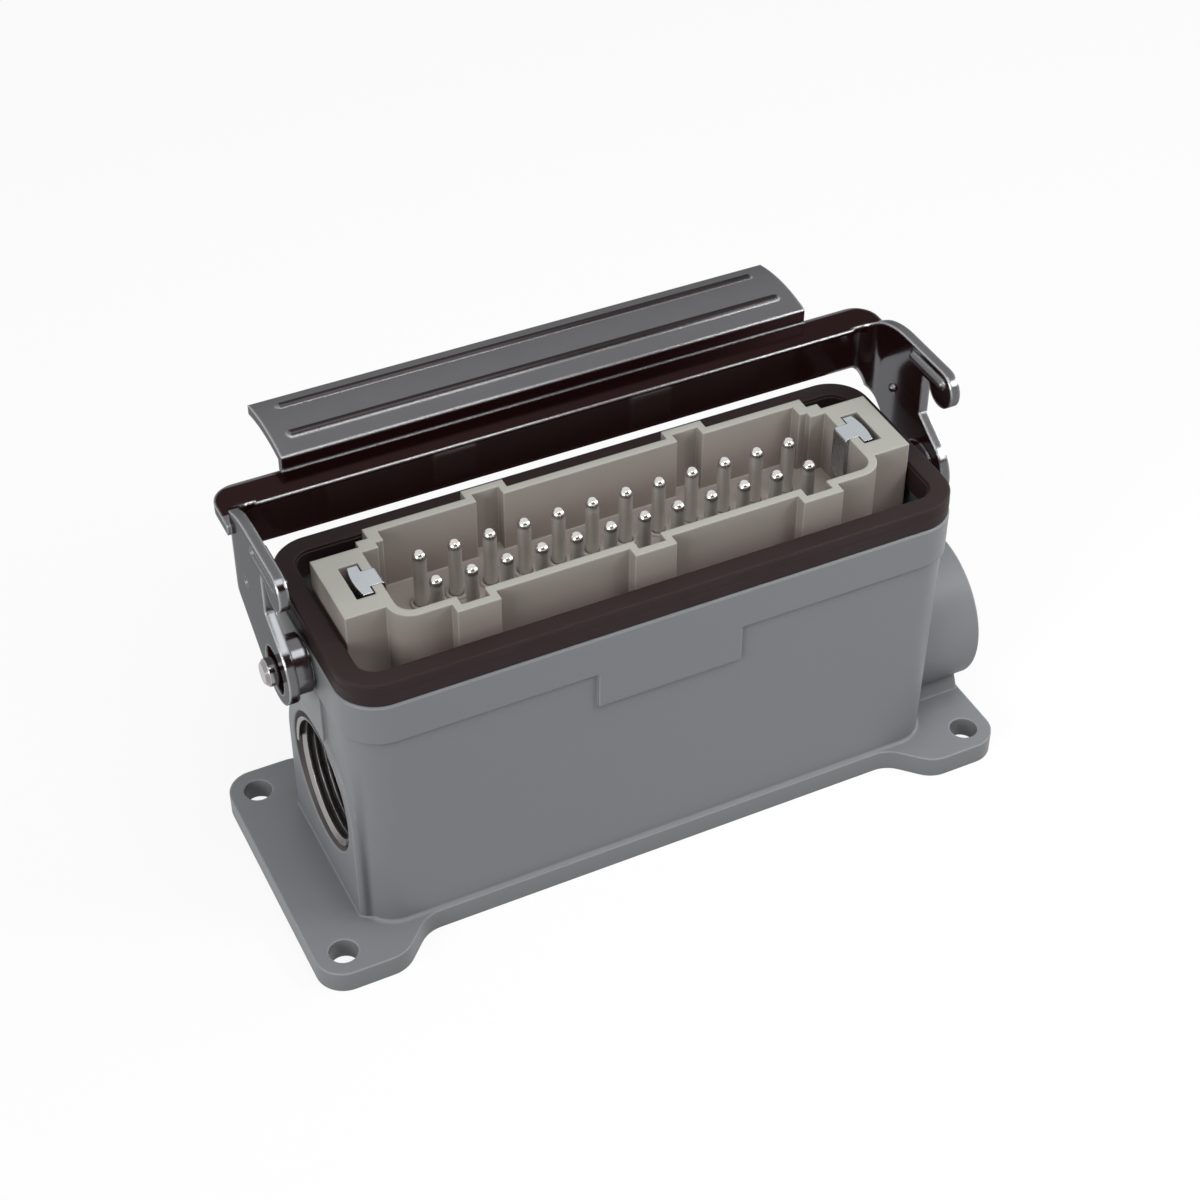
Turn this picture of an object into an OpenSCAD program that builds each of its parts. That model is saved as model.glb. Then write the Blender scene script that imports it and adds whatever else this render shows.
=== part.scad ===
// Heavy duty rectangular connector: a surface mounting housing with one locking
// lever and a pin insert of two rows, with the lever in its locked place.
// X runs along the housing, Y from the front to the lever's handle, Z up.
// The origin is the middle of the mounting face. Lengths are millimetres.

/* [Contacts] */
// Contacts in each of the two rows
row_count = 12; // [6:1:12]
// Distance between neighbouring contacts of a row
pin_pitch = 6.73; // [6:0.01:8]
// Distance between the two rows
row_pitch = 7.55; // [7:0.05:9]
// Diameter of a contact pin
pin_d = 2.5; // [2:0.1:3]
// Depth of the pin tips below the top of the carrier
pin_tip_drop = 1.1; // [0.5:0.1:4]
// Diameter of the terminal barrel at the foot of a contact
barrel_d = 4.4; // [4:0.1:5]
// Diameter of the hole for a wire in the barrel
wire_d = 2.6; // [1.8:0.1:3]
// Diameter of a terminal screw's thread
terminal_screw_d = 3; // [2.5:0.1:3]

/* [Contact carrier] */
// Height of the carrier's top above the rim of the housing
carrier_rise = 9.6; // [8:0.1:12]
// Clear width inside the collar
collar_w = 22; // [21:0.1:23]
// Wall of the collar
collar_wall = 1.6; // [1.2:0.1:2]
// Outer radius of the collar's corners
collar_round = 4.6; // [4.4:0.1:5]
// Depth of the collar
collar_depth = 13; // [10:0.5:15]
// Distance from the last contact of a row to the end of the collar
collar_end = 6.3; // [5.5:0.1:8]
// Length of the solid block at each end
end_block = 12.2; // [11.5:0.1:14]
// Width of the end blocks
end_block_w = 16.6; // [15:0.1:17.5]
// Clear width of a key groove
key_w = 5.3; // [4:0.1:6]
// Depth of a key groove in the collar's wall
key_depth = 2.3; // [1.5:0.1:2.5]
// Width over the fixing ears
ear_span = 34; // [33.5:0.1:37]
// Thickness of the ears
ear_t = 4; // [3:0.1:5]
// Depth of the ears' top below the rim
ear_drop = 7.6; // [6.6:0.1:10]
// Distance of the fixing screws from the carrier's end
fixing_edge = 3.5; // [3:0.1:4]
// Distance of the fixing screws from the ears' side edges
fixing_side = 3.5; // [3.4:0.1:3.8]
// Diameter of a fixing screw's thread
fixing_d = 4; // [3.5:0.1:4.2]
// Height of the terminal block below the ears
foot_h = 20; // [16:0.5:22]
// Width of the terminal block
foot_w = 24; // [23:0.1:26]

/* [Earth contacts] */
// Thickness of the earth clips' sheet
clip_t = 0.8; // [0.6:0.1:1]
// Width of a clip where it lies in its slot
clip_w = 7.8; // [7:0.1:8.2]
// Width of the tongue that folds over into the collar
clip_tongue_w = 4.3; // [3:0.1:5]
// Wall of the carrier between the slot and the collar
clip_wall = 1.8; // [1.4:0.1:2.4]
// Length of the slot for the clip
clip_slot = 3.6; // [3.2:0.1:3.8]
// Length of the tongue's leg inside the collar
clip_leg = 10; // [6:0.5:12]
// Diameter of an earth screw's thread
earth_screw_d = 4; // [3.5:0.1:4.2]

/* [Housing] */
// Height of the rim above the mounting face
rim_h = 59.6; // [57:0.1:75]
// Wall at the rim
wall = 3; // [2.7:0.1:4]
// Thickness of the floor
floor_t = 3.5; // [3:0.1:6]
// Corner radius at the rim
corner_r = 8; // [7:0.1:9]
// Room between the carrier's end and the housing's inner wall
end_gap = 2; // [1.8:0.1:4]
// Room between the carrier's ears and the housing's inner wall
side_gap = 1.6; // [1.5:0.1:3]
// Height of the thicker band under the rim
band_h = 9.3; // [8:0.1:11]
// Step between the band and the wall below it
band_step = 0.6; // [0.3:0.1:1]
// Draft of the wall from the band down to the flange
draft = 0.7; // [0.1:0.1:1]
// Width of the tab in the middle below the band
tab_w = 28.6; // [20:0.1:40]
// Height of the tab below the band
tab_h = 7.2; // [4:0.1:12]

/* [Flange] */
// Thickness of the flange
flange_t = 4.5; // [3.5:0.1:6]
// Length of the flange beyond the rim at each end
flange_over = 11; // [10:0.1:16]
// Reach of the feet beyond the rim at each side
foot_over = 6.4; // [6:0.1:8]
// Width of the lip that the waist leaves along the wall
waist_lip = 0.9; // [0.8:0.1:2]
// Length of a foot's straight edge
foot_len = 13; // [12:0.1:18]
// Length of the curve from a foot to the waist
neck_len = 12; // [10:0.1:16]
// Diameter of the fixing holes
hole_d = 5.5; // [4.5:0.1:6.5]
// Distance from the holes to the edges, which is also the corner radius
hole_edge = 5.5; // [5:0.1:6.5]

/* [Cable entries] */
// Outer diameter of the entry thread
entry_d = 25; // [20:0.5:25.5]
// Width of the countersink round an entry
entry_sink = 1.2; // [0.5:0.1:1.5]
// Length of the thread at the flush end
entry_len = 8; // [6:0.5:8]
// Height of the flush entry above the mounting face
flush_entry_z = 25; // [24:0.1:27]
// Radius of the arched boss round the flush entry
flush_boss_r = 16; // [15.5:0.1:17]
// Spread of the arched boss from its face to its root
flush_boss_draft = 2.2; // [1:0.1:2.4]
// Height of the projecting entry above the mounting face
tube_entry_z = 19; // [18.6:0.1:24]
// Radius of the projecting tube
tube_r = 15.7; // [15:0.1:16.5]
// Reach of the tube beyond the rim
tube_len = 11.5; // [8:0.1:16]

/* [Seal] */
// Height of the seal above the rim
seal_h = 4; // [3:0.1:5]
// Set back of the seal's outer face from the rim's
seal_inset = 0.2; // [0.1:0.1:0.5]
// Radius of the seal's outer top edge
seal_round = 1.6; // [0.8:0.1:2.2]
// Depth of the lip that sits inside the rim
seal_lip = 0.8; // [0.5:0.1:0.8]

/* [Locking lever] */
// Thickness of the lever's sheet
sheet_t = 1.9; // [1.5:0.1:2.1]
// Gap between the housing's end and the lever's arm
arm_gap = 3.8; // [3.4:0.1:5]
// Depth of the pivot below the rim
pivot_drop = 4.6; // [4.4:0.1:6]
// Gap between the housing's end and the dish pressed in round the pivot
dish_gap = 0.6; // [0.5:0.1:1]
// Radius of the dish
dish_r = 4.5; // [4:0.1:4.6]
// Radius of the arm's round lower end
lobe_r = 7.2; // [7:0.1:9]
// Height of the slot's lower corner above the pivot
slot_rise = 11.3; // [10.5:0.1:13]
// Height of the slot that takes the mating peg
slot_h = 8.5; // [7.5:0.1:10]
// Distance of the slot's end behind the pivot
slot_back = 2.2; // [1:0.1:4]
// Height of the hook's top above the pivot
hook_rise = 24.6; // [24:0.1:27]
// Reach of the hook in front of the pivot
hook_reach = 7.4; // [6.5:0.1:10]
// Radius of the hook's round nose
nose_r = 3.8; // [3.4:0.1:4.2]
// Radius of the arm's back where it falls to the shelf
crest_r = 19; // [16:0.5:24]
// Set back of the web's front face behind the rim's edge
web_inset = 1; // [0.6:0.1:1]
// Height of the web's lower edge above the pivot
web_rise = 11.2; // [11.2:0.1:13]
// Height of the shelf's top above the pivot
shelf_rise = 20; // [18:0.1:21]
// Depth of the shelf from front to back
shelf_w = 6.9; // [6:0.1:9]
// Reach of the shelf's ends beyond the arms
shelf_over = 0.8; // [0.5:0.1:1.6]
// Inner radius of the bends between the web and the arms
bend_r = 4; // [3:0.1:5]
// Height of the handle's crown above the shelf
handle_rise = 4; // [3.9:0.1:7]
// Depth of the handle behind the shelf
handle_w = 17; // [14:0.1:22]
// Distance from the handle's end to the arm
handle_end = 13.2; // [10:0.1:20]
// Radius of the handle's crown
crown_r = 36; // [30:1:60]
// Radius of the beads pressed into the sheet
bead_r = 0.9; // [0.6:0.1:1.2]

/* [Pivot pins] */
// Diameter of a pivot pin
pivot_d = 5.2; // [5:0.1:6.5]
// Diameter of the pin's press fitted shank
shank_d = 4; // [3.5:0.1:4.4]
// Length of the pin outside the lever's arm
pivot_out = 2.3; // [1.5:0.1:5]
// Diameter of the collar that keeps the lever off the housing
pivot_collar_d = 9; // [7.5:0.1:10]

/* [Clearances] */
// Radial clearance of fixed fits
fit = 0.05; // [0.02:0.01:0.1]
// Running clearance of moving and free faces
run = 0.3; // [0.2:0.05:0.4]

/* [Hidden] */
$fn = 48;
eps = 0.01;

// Plan of the carrier and of the housing that takes it
pins_half = pin_pitch * (row_count - 1) / 2;
collar_half_l = pins_half + collar_end;
collar_half_w = collar_w / 2;
collar_out = collar_half_w + collar_wall;
collar_close = 0.8;
collar_step = 1.5;
carrier_half = collar_half_l + end_block;
half_l = carrier_half + end_gap + wall;
half_w = ear_span / 2 + side_gap + wall;
centre_x = half_l - corner_r;
centre_y = half_w - corner_r;
flange_half_l = half_l + flange_over;
flange_half_w = half_w + foot_over;
hole_x = flange_half_l - hole_edge;
hole_y = flange_half_w - hole_edge;
waist_y = half_w - band_step - draft + waist_lip;

// Heights
carrier_top = rim_h + carrier_rise;
collar_floor = carrier_top - collar_depth;
ear_top = rim_h - ear_drop;
ear_bottom = ear_top - ear_t;
foot_bottom = ear_bottom - foot_h;
pin_tip = carrier_top - pin_tip_drop;
barrel_step = 1;
terminal_drop = 8;
earth_drop = 3.7;
barrel_top = ear_bottom + barrel_step;
terminal_z = ear_bottom - terminal_drop;
earth_z = ear_bottom - earth_drop;
band_z = rim_h - band_h;
pivot_z = rim_h - pivot_drop;
key_x = pin_pitch * (row_count - 2) / 2;
key_back_x = pin_pitch * row_count / 4;

// Set back of the arched boss from the rim's end
flush_set = 0.35;

// Fixing screws and the posts that take them
fixing_x = carrier_half - fixing_edge;
fixing_y = ear_span / 2 - fixing_side;
post_wall = 2.2;
post_r = fixing_d / 2 + post_wall;
fixing_rim = 1.6;
fixing_head_r = fixing_d / 2 + fixing_rim;
fixing_head_h = 2.8;
fixing_len = 12;

// Terminal screws, one across each barrel
seat_wall = 2;
terminal_rim = 0.9;
head_seat_y = row_pitch / 2 + barrel_d / 2 + seat_wall;
terminal_head_r = terminal_screw_d / 2 + terminal_rim;
terminal_head_h = 1.8;

// Earth clips
clip_recess = 3.1;
clip_set = 1.3;
clip_foot = 3.6;
clip_bow = 0.5;
earth_rim = 1.5;
bridge_x = collar_half_l + clip_recess;
slot_x = bridge_x + clip_wall;
clip_x = slot_x + clip_set;
clip_bottom = earth_z - clip_foot;
earth_head_r = earth_screw_d / 2 + earth_rim;
earth_head_h = 2.4;

// Seal
seal_in = corner_r - (half_w - ear_span / 2) + 0.2;
seal_out = corner_r - seal_inset;

// Lever
arm_in = half_l + arm_gap;
arm_out = arm_in + sheet_t;
dish_in = half_l + dish_gap;
web_y = half_w - web_inset;
web_back = web_y + sheet_t;
web_z = pivot_z + web_rise;
shelf_z = pivot_z + shelf_rise;
shelf_back = web_y + shelf_w;
lobe_fore = 0.3;
lobe_lift = 1.2;
lobe = [-lobe_fore, pivot_z + lobe_lift];
dimple_back = 11.5;
dimple_rise = 11.2;
slot_corner = [slot_back, pivot_z + slot_rise];
slot_top = slot_corner[1] + slot_h;
hook_top = pivot_z + hook_rise;
nose = [nose_r - hook_reach, hook_top - nose_r];
crest_y = 9;
arm_corner = [web_y - 1.1, web_z - 4.2];
handle_x = arm_out - handle_end;
handle_back = shelf_back + handle_w;
riser_y = shelf_back - 0.5;
crown = [shelf_back + handle_w * 0.47, shelf_z + handle_rise - crown_r];

// Pins
pivot_end = arm_out + pivot_out;
pivot_seat = 3.9;
pivot_boss_r = shank_d / 2 + 1.4;

metal = [0.46, 0.48, 0.50];
rubber = [0.16, 0.13, 0.13];
plastic = [0.66, 0.65, 0.61];
plated = [0.80, 0.80, 0.80];
chrome = [0.28, 0.27, 0.27];

function pin_name(i) = str("contact_pin_", i < 10 ? "0" : "", i);
pin_names = [for (i = [1:2 * row_count]) pin_name(i)];

// Place of contact i, counted along the front row and then the back row
function pin_x(i) = ((i - 1) % row_count) * pin_pitch - pins_half;
function pin_y(i) = (i <= row_count ? -1 : 1) * row_pitch / 2;

// Point of a circle that a line from the point p touches, on the given side
function touch(centre, r, p, side) =
    let (d = p - centre, a = atan2(d[1], d[0]) + side * acos(r / norm(d)))
    centre + r * [cos(a), sin(a)];

// Rectangle with round corners
module round_rect(half_x, half_y, r) {
    square([2 * half_x, 2 * (half_y - r)], center = true);
    square([2 * (half_x - r), 2 * half_y], center = true);
    for (x = [-1, 1], y = [-1, 1])
        translate([x * (half_x - r), y * (half_y - r)]) circle(r);
}

// Front half of a rectangle about the origin with round corners
module front_round(half_x, half_y, r) {
    translate([-half_x, r - half_y]) square([2 * half_x, half_y - r]);
    translate([r - half_x, -half_y]) square([2 * (half_x - r), half_y]);
    for (x = [-1, 1]) translate([x * (half_x - r), r - half_y]) circle(r);
}

// Back half of a rectangle about the origin, lapped over the front half
module back_square(half_x, half_y) {
    translate([-half_x, -1]) square([2 * half_x, half_y + 1]);
}

// Outline in Y and Z drawn out along X from x0 to x1
module along_x(x0, x1) {
    translate([x0, 0, 0]) rotate([90, 0, 90]) linear_extrude(x1 - x0) children();
}

// Cylinder along X from x0 to x1
module rod_x(r, x0, x1, y, z) {
    translate([x0, y, z]) rotate([0, 90, 0]) cylinder(h = x1 - x0, r = r);
}

// Wall with the given section, swept round the rectangle of corner centres.
// The section is drawn as distance from the corner centres and height.
module sweep_round() {
    for (x = [0, 1], y = [0, 1])
        mirror([x, 0, 0]) mirror([0, y, 0]) translate([centre_x, centre_y, 0])
            rotate_extrude(angle = 90) children();
    for (y = [0, 1])
        mirror([0, y, 0]) along_x(-centre_x, centre_x) translate([centre_y, 0]) children();
    for (x = [0, 1])
        mirror([x, 0, 0]) translate([0, centre_y, 0]) rotate([90, 0, 0])
            linear_extrude(2 * centre_y) translate([centre_x, 0]) children();
}

// Section of the housing's wall: drafted outside, with the band and a bevelled
// rim. The cavity is cut out of its inner side afterwards.
module wall_section() {
    foot_r = corner_r - band_step - draft;
    neck_r = corner_r - band_step;
    inner_r = corner_r - wall - draft - 0.5;
    bevel = 0.5;
    fillet = 0.8;
    polygon([
        [inner_r, 0], [foot_r, 0], [neck_r, band_z], [corner_r, band_z + band_step],
        [corner_r, rim_h - bevel], [corner_r - bevel, rim_h], [inner_r, rim_h]]);
    difference() {
        translate([foot_r - fillet, flange_t - eps]) square(2 * fillet);
        translate([foot_r + fillet, flange_t + fillet]) circle(fillet);
        translate([foot_r - fillet, flange_t + fillet]) square(3 * fillet);
    }
}

// Area under an S curve that falls to zero over a length: two arcs of one
// radius and their common tangent. It laps into the shapes that it joins.
module ogee(length, height) {
    r = 0.9 * (length * length + height * height) / (4 * height);
    lap = 1;
    high = [0, height - r];
    low = [length, r];
    middle = [length, height] / 2;
    translate(high) circle(r);
    difference() {
        polygon([
            high, touch(high, r, middle, 1), touch(low, r, middle, 1), low, [length, -lap], [-lap, -lap]]);
        translate(low) circle(r);
    }
}

// Outline of the flange: a foot at each corner and a narrower waist between
module flange_outline() {
    foot_x = flange_half_l - foot_len;
    square([2 * foot_x, 2 * waist_y], center = true);
    for (x = [0, 1], y = [0, 1]) mirror([x, 0]) mirror([0, y]) {
        translate([foot_x, 0]) square([foot_len - hole_edge, flange_half_w]);
        translate([foot_x, 0]) square([foot_len, hole_y]);
        translate([hole_x, hole_y]) circle(hole_edge);
        translate([foot_x, waist_y]) mirror([1, 0]) ogee(neck_len, flange_half_w - waist_y);
    }
}

// Outside of the casting at its two ends: the arched boss of the flush entry,
// the tube of the other on its saddle and the pads that carry the pivot pins
module end_bosses() {
    pad_half = 5.4;
    pad_low = flush_entry_z + entry_d / 2 + 2 * entry_sink;
    root_r = flush_boss_r + flush_boss_draft;
    face_x = -half_l + flush_set;
    root_x = face_x + wall;
    intersection() {
        translate([root_x, 0, flush_entry_z]) rotate([0, -90, 0])
            cylinder(h = wall, r1 = root_r, r2 = flush_boss_r);
        translate([face_x - wall, -half_w, flush_entry_z]) cube(2 * half_w);
    }
    linear_extrude(flush_entry_z) polygon([
        [face_x, -flush_boss_r], [face_x, flush_boss_r], [root_x, root_r], [root_x, -root_r]]);
    rod_x(tube_r, half_l - wall, half_l + tube_len, 0, tube_entry_z);
    saddle = tube_r * [0.83, 0.66];
    saddle_z = tube_entry_z - tube_r * 0.7;
    along_x(half_l - wall, flange_half_l - 0.5) polygon([
        [-saddle[0], flange_t / 2], [saddle[0], flange_t / 2],
        [saddle[1], saddle_z], [-saddle[1], saddle_z]]);
    for (x = [0, 1]) mirror([x, 0, 0])
        along_x(half_l - wall, half_l) translate([-pad_half, pad_low])
            square([2 * pad_half, band_z + band_step - pad_low]);
}

// Inside of the casting: posts for the fixing screws, and the bosses that give
// the flush entry its thread length and the pivot pins their seats
module inner_bosses() {
    for (x = [0, 1], y = [0, 1]) mirror([x, 0, 0]) mirror([0, y, 0]) {
        translate([fixing_x, fixing_y, 0]) cylinder(h = ear_bottom, r = post_r);
        translate([fixing_x - post_r, fixing_y, 0])
            cube([1.5 * post_r, half_w - wall - fixing_y, ear_bottom]);
    }
    rod_x(entry_d / 2 + 2.2, -half_l + wall / 2, -half_l + entry_len, 0, flush_entry_z);
    for (x = [0, 1]) mirror([x, 0, 0])
        rod_x(pivot_boss_r, carrier_half + 0.5, half_l - wall / 2, 0, pivot_z);
}

// Bores of the casting: entries, pivot seats, post threads and flange holes
module housing_bores() {
    mouth = -half_l + flush_set - eps;
    rod_x(entry_d / 2, mouth, -half_l + entry_len + eps, 0, flush_entry_z);
    translate([mouth, 0, flush_entry_z]) rotate([0, 90, 0])
        cylinder(h = entry_sink, r1 = entry_d / 2 + entry_sink, r2 = entry_d / 2);
    rod_x(entry_d / 2, half_l - 2 * wall, half_l + tube_len + eps, 0, tube_entry_z);
    translate([half_l + tube_len + eps, 0, tube_entry_z]) rotate([0, -90, 0])
        cylinder(h = entry_sink, r1 = entry_d / 2 + entry_sink, r2 = entry_d / 2);
    for (x = [0, 1]) mirror([x, 0, 0])
        rod_x(shank_d / 2 + fit, half_l - pivot_seat, half_l + eps, 0, pivot_z);
    for (x = [-1, 1], y = [-1, 1]) {
        translate([x * fixing_x, y * fixing_y, ear_bottom - fixing_len])
            cylinder(h = fixing_len + eps, r = fixing_d / 2 + fit);
        translate([x * hole_x, y * hole_y, -eps]) cylinder(h = flange_t + 2 * eps, d = hole_d);
    }
}

// Die cast housing with its mounting flange and closed floor
module housing_base() {
    color(metal) difference() {
        union() {
            difference() {
                union() {
                    linear_extrude(flange_t) flange_outline();
                    sweep_round() wall_section();
                    end_bosses();
                    for (y = [0, 1]) mirror([0, y, 0])
                        translate([-tab_w / 2, half_w - wall, band_z - tab_h])
                            cube([tab_w, wall, tab_h + band_step]);
                }
                translate([0, 0, floor_t]) linear_extrude(rim_h)
                    round_rect(half_l - wall - draft, half_w - wall - draft, corner_r - wall - draft);
                translate([0, 0, ear_bottom - run]) linear_extrude(rim_h)
                    round_rect(half_l - wall, half_w - wall, corner_r - wall);
            }
            inner_bosses();
        }
        housing_bores();
    }
}

// Section of the seal: flat on the rim, round at its outer top edge, with a lip inside
module seal_section() {
    top = rim_h + seal_h;
    lip_out = corner_r - wall - 0.1;
    translate([seal_in, rim_h]) square([seal_out - seal_in, seal_h - seal_round]);
    translate([seal_in, top - seal_round - eps])
        square([seal_out - seal_round - seal_in, seal_round + eps]);
    intersection() {
        translate([seal_out - seal_round, top - seal_round]) circle(seal_round);
        translate([seal_out - seal_round - eps, top - seal_round - eps]) square(2 * seal_round);
    }
    translate([seal_in, rim_h - seal_lip]) square([lip_out - seal_in, seal_lip + eps]);
}

// Rubber seal on the rim
module rim_seal() {
    color(rubber) sweep_round() seal_section();
}

// Places of the key grooves: along X, and the side they are on
key_places = [[-key_x, -1], [0, -1], [key_x, -1], [-key_back_x, 1], [key_back_x, 1]];

// Plan of the collar's outside: round corners in front, stepped ones at the back
// and the bumps behind the key grooves
module collar_outline() {
    front_round(bridge_x + collar_wall, collar_out, collar_round);
    back_square(collar_half_l + collar_close, collar_out);
    back_square(bridge_x, end_block_w / 2 + collar_wall);
    key_out = key_w + 2 * collar_wall - 0.4;
    for (k = key_places)
        translate([k[0] - key_out / 2, k[1] > 0 ? 0 : -collar_out - key_depth])
            square([key_out, collar_out + key_depth]);
    square([2 * carrier_half, end_block_w], center = true);
}

// Plan of the space inside the collar, with the key grooves and the clip recesses
module collar_space() {
    front_round(bridge_x, collar_half_w, collar_round - collar_wall);
    back_square(collar_half_l - collar_step, collar_half_w);
    back_square(collar_half_l, end_block_w / 2);
    back_square(bridge_x, end_block_w / 2 - collar_step);
    for (k = key_places)
        translate([k[0] - key_w / 2, k[1] > 0 ? 0 : -collar_half_w - key_depth])
            square([key_w, collar_half_w + key_depth]);
}

// Plan of the mounting plate with an ear at each corner
module ear_outline() {
    ear_l = 2 * (fixing_edge + 2.2);
    square([2 * carrier_half, foot_w], center = true);
    for (x = [0, 1], y = [0, 1]) mirror([x, 0]) mirror([0, y])
        translate([carrier_half - ear_l, 0]) square([ear_l, ear_span / 2]);
}

// Bores for one contact and its terminal screw
module contact_bores(i) {
    side = pin_y(i) > 0 ? 1 : -1;
    translate([pin_x(i), pin_y(i), 0]) {
        translate([0, 0, foot_bottom - eps])
            cylinder(h = barrel_top - foot_bottom + eps, d = barrel_d + 2 * fit);
        translate([0, 0, barrel_top - eps])
            cylinder(h = collar_floor - barrel_top + 2 * eps, d = pin_d + 2 * fit);
    }
    translate([pin_x(i), side * foot_w, terminal_z]) rotate([side * 90, 0, 0]) {
        cylinder(h = foot_w - head_seat_y, r = terminal_head_r + run);
        cylinder(h = foot_w - pin_y(i) * side, d = terminal_screw_d + 4 * fit);
    }
}

// Slots for an earth clip, on the right hand end
module clip_cuts() {
    seat = clip_tongue_w / 2 + fit;
    translate([slot_x, -clip_w / 2 - 0.6, ear_bottom - eps])
        cube([clip_slot, clip_w + 1.2, carrier_top - ear_bottom + 2 * eps]);
    translate([bridge_x - eps, -seat, carrier_top - clip_t])
        cube([clip_wall + 2 * eps, 2 * seat, clip_t + eps]);
    rod_x(earth_screw_d / 2 + fit, collar_half_l + 0.8, clip_x + clip_t, 0, earth_z);
}

// Moulded carrier: collar with key grooves, end blocks, ears and terminal block
module contact_carrier() {
    earth_half = earth_head_r + 1.5;
    color(plastic) difference() {
        union() {
            translate([0, 0, ear_bottom]) linear_extrude(carrier_top - ear_bottom) collar_outline();
            translate([0, 0, ear_bottom]) linear_extrude(ear_t) ear_outline();
            translate([-collar_half_l, -foot_w / 2, foot_bottom])
                cube([2 * collar_half_l, foot_w, foot_h + eps]);
            translate([-clip_x, -earth_half, clip_bottom])
                cube([2 * clip_x, 2 * earth_half, ear_bottom - clip_bottom + eps]);
        }
        translate([0, 0, collar_floor]) linear_extrude(collar_depth + eps) collar_space();
        for (x = [0, 1]) mirror([x, 0, 0]) clip_cuts();
        for (i = [1:2 * row_count]) contact_bores(i);
        for (x = [-1, 1], y = [-1, 1])
            translate([x * fixing_x, y * fixing_y, ear_bottom - eps])
                cylinder(h = ear_t + 2 * eps, d = fixing_d + 0.4);
    }
}

// Turned contact: round tipped pin, terminal barrel with wire hole and screw hole
module contact_pin(i) {
    side = pin_y(i) > 0 ? 1 : -1;
    dome = pin_d * 0.42;
    color(plated) translate([pin_x(i), pin_y(i), 0]) difference() {
        union() {
            translate([0, 0, foot_bottom]) cylinder(h = barrel_top - foot_bottom, d = barrel_d);
            translate([0, 0, barrel_top - eps]) cylinder(h = pin_tip - dome - barrel_top + eps, d = pin_d);
            translate([0, 0, pin_tip - dome]) intersection() {
                sphere(d = pin_d);
                cylinder(h = dome, d = 2 * pin_d);
            }
        }
        translate([0, 0, foot_bottom - eps]) cylinder(h = foot_h - 4, d = wire_d);
        translate([0, 0, terminal_z]) rotate([-side * 90, 0, 0])
            cylinder(h = barrel_d, d = terminal_screw_d + 2 * fit);
    }
}

// Slotted screw along Z with the underside of its head at the origin
module slotted_screw(d, length, head_r, head_h) {
    difference() {
        union() {
            cylinder(h = head_h, r = head_r);
            translate([0, 0, -length]) cylinder(h = length + eps, d = d);
        }
        translate([-head_r - eps, -head_h / 6, head_h * 0.55])
            cube([2 * head_r + 2 * eps, head_h / 3, head_h]);
    }
}

// Screws that clamp the wires, one across each contact
module terminal_screws() {
    shank = head_seat_y - row_pitch / 2 - wire_d / 2;
    color(plated) for (i = [1:2 * row_count]) {
        side = pin_y(i) > 0 ? 1 : -1;
        translate([pin_x(i), side * head_seat_y, terminal_z]) rotate([-side * 90, 0, 0])
            slotted_screw(terminal_screw_d, shank, terminal_head_r, terminal_head_h);
    }
}

// Captive screws that hold the carrier on the housing's posts
module fixing_screws() {
    color(plated) for (x = [-1, 1], y = [-1, 1])
        translate([x * fixing_x, y * fixing_y, ear_top])
            slotted_screw(fixing_d, ear_t + fixing_len - 1, fixing_head_r, fixing_head_h);
}

// Earth clip of the right hand end: a strip that rises in the slot, crosses the
// bridge with a narrower tongue and hangs down inside the collar
module clip_right() {
    top = carrier_top - clip_t;
    bow_r = (clip_w * clip_w / 4 + clip_bow * clip_bow) / (2 * clip_bow);
    tip_x = clip_x + clip_t + clip_bow;
    difference() {
        union() {
            translate([clip_x, -clip_w / 2, clip_bottom]) cube([clip_t, clip_w, top + eps - clip_bottom]);
            intersection() {
                translate([slot_x + run, -clip_w / 2, top]) cube([clip_slot, clip_w, clip_t]);
                translate([tip_x - bow_r, 0, top]) cylinder(h = clip_t, r = bow_r);
            }
            translate([bridge_x, -clip_tongue_w / 2, top])
                cube([clip_x - bridge_x, clip_tongue_w, clip_t]);
            translate([bridge_x - clip_t, -clip_tongue_w / 2, carrier_top - clip_leg])
                cube([clip_t, clip_tongue_w, clip_leg - clip_t + eps]);
            intersection() {
                translate([bridge_x, clip_tongue_w / 2, top]) rotate([90, 0, 0])
                    cylinder(h = clip_tongue_w, r = clip_t);
                translate([bridge_x - clip_t, -clip_tongue_w / 2, top])
                    cube([clip_t + eps, clip_tongue_w, clip_t]);
            }
        }
        rod_x(earth_screw_d / 2 + fit, clip_x - eps, clip_x + clip_t + eps, 0, earth_z);
    }
}

module earth_clip_left() {
    color(plated) mirror([1, 0, 0]) clip_right();
}

module earth_clip_right() {
    color(plated) clip_right();
}

// Screws of the two earth terminals
module earth_screws() {
    shank = clip_x + clip_t - collar_half_l - 1.8;
    color(plated) for (x = [-1, 1])
        translate([x * (clip_x + clip_t), 0, earth_z]) rotate([0, x * 90, 0])
            slotted_screw(earth_screw_d, shank, earth_head_r, earth_head_h);
}

// Pivot pin of the right hand end: shank in the casting, collar and bevelled peg
module pin_right() {
    bevel = 0.7;
    peg_r = pivot_d / 2;
    shank_r = shank_d / 2;
    translate([0, 0, pivot_z]) rotate([0, 90, 0]) rotate_extrude() polygon([
        [0, half_l - pivot_seat], [shank_r, half_l - pivot_seat], [shank_r, half_l],
        [pivot_collar_d / 2, half_l], [pivot_collar_d / 2, dish_in - run], [peg_r, dish_in - run],
        [peg_r, pivot_end - bevel], [peg_r - bevel, pivot_end], [0, pivot_end]]);
}

module pivot_pin_left() {
    color(chrome) mirror([1, 0, 0]) pin_right();
}

module pivot_pin_right() {
    color(chrome) pin_right();
}

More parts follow.
